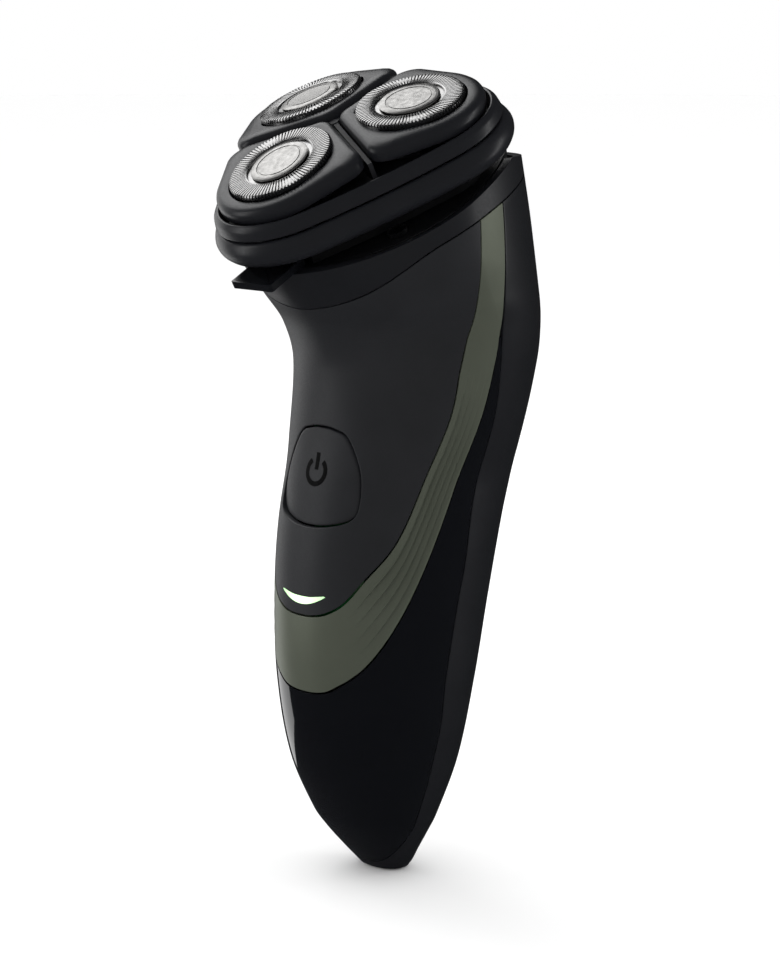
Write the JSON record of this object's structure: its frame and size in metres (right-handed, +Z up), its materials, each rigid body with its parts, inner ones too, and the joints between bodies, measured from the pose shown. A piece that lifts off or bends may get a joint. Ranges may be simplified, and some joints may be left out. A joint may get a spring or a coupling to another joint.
{
  "type": "electric shaver",
  "caption": "Cordless rotary shaver with round pivoting cutting heads on a tilted, hinged head and a curved black handle with a ribbed olive trim band.",
  "frame": {"origin": "middle of the power inlet's end face, at the foot of the handle", "axes": "+Z up along the handle to the head, -Y to the front with the power button, +X to the right seen from behind the button"},
  "size_m": [0.0618, 0.0698, 0.1614],
  "materials": {
    "soft_black": "soft-touch matte black, faintly speckled",
    "rear_black": "satin black moulded ABS",
    "gloss_black": "high-gloss black",
    "olive_trim": "satin olive grey with fine moulded ridges",
    "collar_black": "satin black",
    "head_black": "satin black with softened edges",
    "deck_black": "matte black",
    "dark_plastic": "matte dark grey",
    "white_acetal": "natural acetal",
    "cap_steel": "bright turned steel with radial slots",
    "badge_silver": "satin silver, turned rings",
    "steel": "ground steel",
    "nickel": "nickel plate",
    "copper_winding": "enamelled copper winding",
    "brass": "cut brass",
    "cell_can": "green sleeve over a steel can",
    "board_green": "solder-masked board",
    "light_lens": "milky light guide, glowing pale green"
  },
  "bodies": {
    "handle": {"front_housing": "soft_black", "rear_housing": "rear_black", "trim_band": "olive_trim", "lower_front_cover": "gloss_black", "neck_collar": "collar_black", "hinge_pin": "steel", "light_window": "light_lens", "circuit_board": "board_green", "tact_switch": "steel", "charge_led": "light_lens", "inner_frame": "dark_plastic", "battery_cell": "cell_can", "battery_contact_top": "nickel", "battery_contact_bottom": "nickel", "inlet_socket": "dark_plastic", "inlet_pin_left": "nickel", "inlet_pin_right": "nickel", "motor_can": "steel", "motor_end_cap": "dark_plastic", "drive_chassis": "white_acetal", "drive_cover": "deck_black", "cover_screw_left": "steel", "cover_screw_right": "steel", "release_spring": "steel"},
    "power_button": {"power_button": "soft_black"},
    "release_button": {"release_button": "collar_black"},
    "head": {"head_shell": "head_black", "head_bezel": "head_black", "retaining_frame": "dark_plastic"},
    "rotor": {"motor_rotor": "copper_winding", "motor_pinion": "brass"},
    "drive_gear_front": {"spindle_gear_front": "white_acetal", "spindle_spring_front": "steel"},
    "spindle_front": {"spindle_front": "dark_plastic"},
    "lobe_front": {"lobe_front": "head_black", "cap_retainer_front": "dark_plastic", "shaving_cap_front": "cap_steel", "cap_badge_front": "badge_silver"},
    "cutter_front": {"cutter_front": "steel"},
    "drive_gear_right": {"spindle_gear_right": "white_acetal", "spindle_spring_right": "steel"},
    "spindle_right": {"spindle_right": "dark_plastic"},
    "lobe_right": {"lobe_right": "head_black", "cap_retainer_right": "dark_plastic", "shaving_cap_right": "cap_steel", "cap_badge_right": "badge_silver"},
    "cutter_right": {"cutter_right": "steel"},
    "drive_gear_left": {"spindle_gear_left": "white_acetal", "spindle_spring_left": "steel"},
    "spindle_left": {"spindle_left": "dark_plastic"},
    "lobe_left": {"lobe_left": "head_black", "cap_retainer_left": "dark_plastic", "shaving_cap_left": "cap_steel", "cap_badge_left": "badge_silver"},
    "cutter_left": {"cutter_left": "steel"}
  },
  "joints": [
    {"name": "power_button_press", "type": "slide", "parent": "handle", "child": "power_button", "axis": [0, 1, 0], "range_m": [0, 0.0008], "stiffness_N_per_m": 600, "springref_m": -0.0003},
    {"name": "release_press", "type": "slide", "parent": "handle", "child": "release_button", "axis": [0, 0.8763, 0.4818], "range_m": [0, 0.0013], "stiffness_N_per_m": 400, "springref_m": -0.0005, "deforming": ["release_spring"]},
    {"name": "head_open", "type": "hinge", "parent": "handle", "child": "head", "pos_m": [0, 0.01748, 0.14602], "axis": [-1, 0, 0], "range_deg": [0, 100]},
    {"name": "motor_spin", "type": "hinge", "parent": "handle", "child": "rotor", "pos_m": [0, -0.00205, 0.13049], "axis": [0, -0.4818, 0.8763], "continuous": true},
    {"name": "gear_spin_front", "type": "hinge", "parent": "handle", "child": "drive_gear_front", "pos_m": [0, -0.01637, 0.1249], "axis": [0, -0.4818, 0.8763], "continuous": true},
    {"name": "spindle_slide_front", "type": "slide", "parent": "drive_gear_front", "child": "spindle_front", "axis": [0, 0.4818, -0.8763], "range_m": [0, 0.0015], "stiffness_N_per_m": 200, "springref_m": -0.003, "deforming": ["spindle_spring_front"]},
    {"name": "gear_spin_right", "type": "hinge", "parent": "handle", "child": "drive_gear_right", "pos_m": [0.0132, 0.00366, 0.13592], "axis": [0, -0.4818, 0.8763], "continuous": true},
    {"name": "spindle_slide_right", "type": "slide", "parent": "drive_gear_right", "child": "spindle_right", "axis": [0, 0.4818, -0.8763], "range_m": [0, 0.0015], "stiffness_N_per_m": 200, "springref_m": -0.003, "deforming": ["spindle_spring_right"]},
    {"name": "gear_spin_left", "type": "hinge", "parent": "handle", "child": "drive_gear_left", "pos_m": [-0.0132, 0.00366, 0.13592], "axis": [0, -0.4818, 0.8763], "continuous": true},
    {"name": "spindle_slide_left", "type": "slide", "parent": "drive_gear_left", "child": "spindle_left", "axis": [0, 0.4818, -0.8763], "range_m": [0, 0.0015], "stiffness_N_per_m": 200, "springref_m": -0.003, "deforming": ["spindle_spring_left"]},
    {"name": "lobe_tilt_front", "type": "hinge", "parent": "head", "child": "lobe_front", "pos_m": [0, -0.02477, 0.14019], "axis": [1, 0, 0], "range_deg": [-3, 3], "stiffness_Nm_per_rad": 0.06},
    {"name": "cutter_spin_front", "type": "hinge", "parent": "lobe_front", "child": "cutter_front", "pos_m": [0, -0.0263, 0.14229], "axis": [0, -0.5864, 0.81], "continuous": true},
    {"name": "lobe_tilt_right", "type": "hinge", "parent": "head", "child": "lobe_right", "pos_m": [0.0132, -0.00474, 0.1512], "axis": [-0.5, 0.7589, 0.4172], "range_deg": [-3, 3], "stiffness_Nm_per_rad": 0.06},
    {"name": "cutter_spin_right", "type": "hinge", "parent": "lobe_right", "child": "cutter_right", "pos_m": [0.01348, -0.00584, 0.15354], "axis": [0.107, -0.4239, 0.8994], "continuous": true},
    {"name": "lobe_tilt_left", "type": "hinge", "parent": "head", "child": "lobe_left", "pos_m": [-0.0132, -0.00474, 0.1512], "axis": [-0.5, -0.7589, -0.4172], "range_deg": [-3, 3], "stiffness_Nm_per_rad": 0.06},
    {"name": "cutter_spin_left", "type": "hinge", "parent": "lobe_left", "child": "cutter_left", "pos_m": [-0.01348, -0.00584, 0.15354], "axis": [-0.107, -0.4239, 0.8994], "continuous": true}
  ],
  "couplings": [
    {"joint": "gear_spin_front", "follows": "motor_spin", "ratio": -0.83333},
    {"joint": "gear_spin_right", "follows": "motor_spin", "ratio": -0.83333},
    {"joint": "gear_spin_left", "follows": "motor_spin", "ratio": -0.83333},
    {"joint": "cutter_spin_front", "follows": "motor_spin", "ratio": -0.83333},
    {"joint": "cutter_spin_right", "follows": "motor_spin", "ratio": -0.83333},
    {"joint": "cutter_spin_left", "follows": "motor_spin", "ratio": -0.83333}
  ]
}
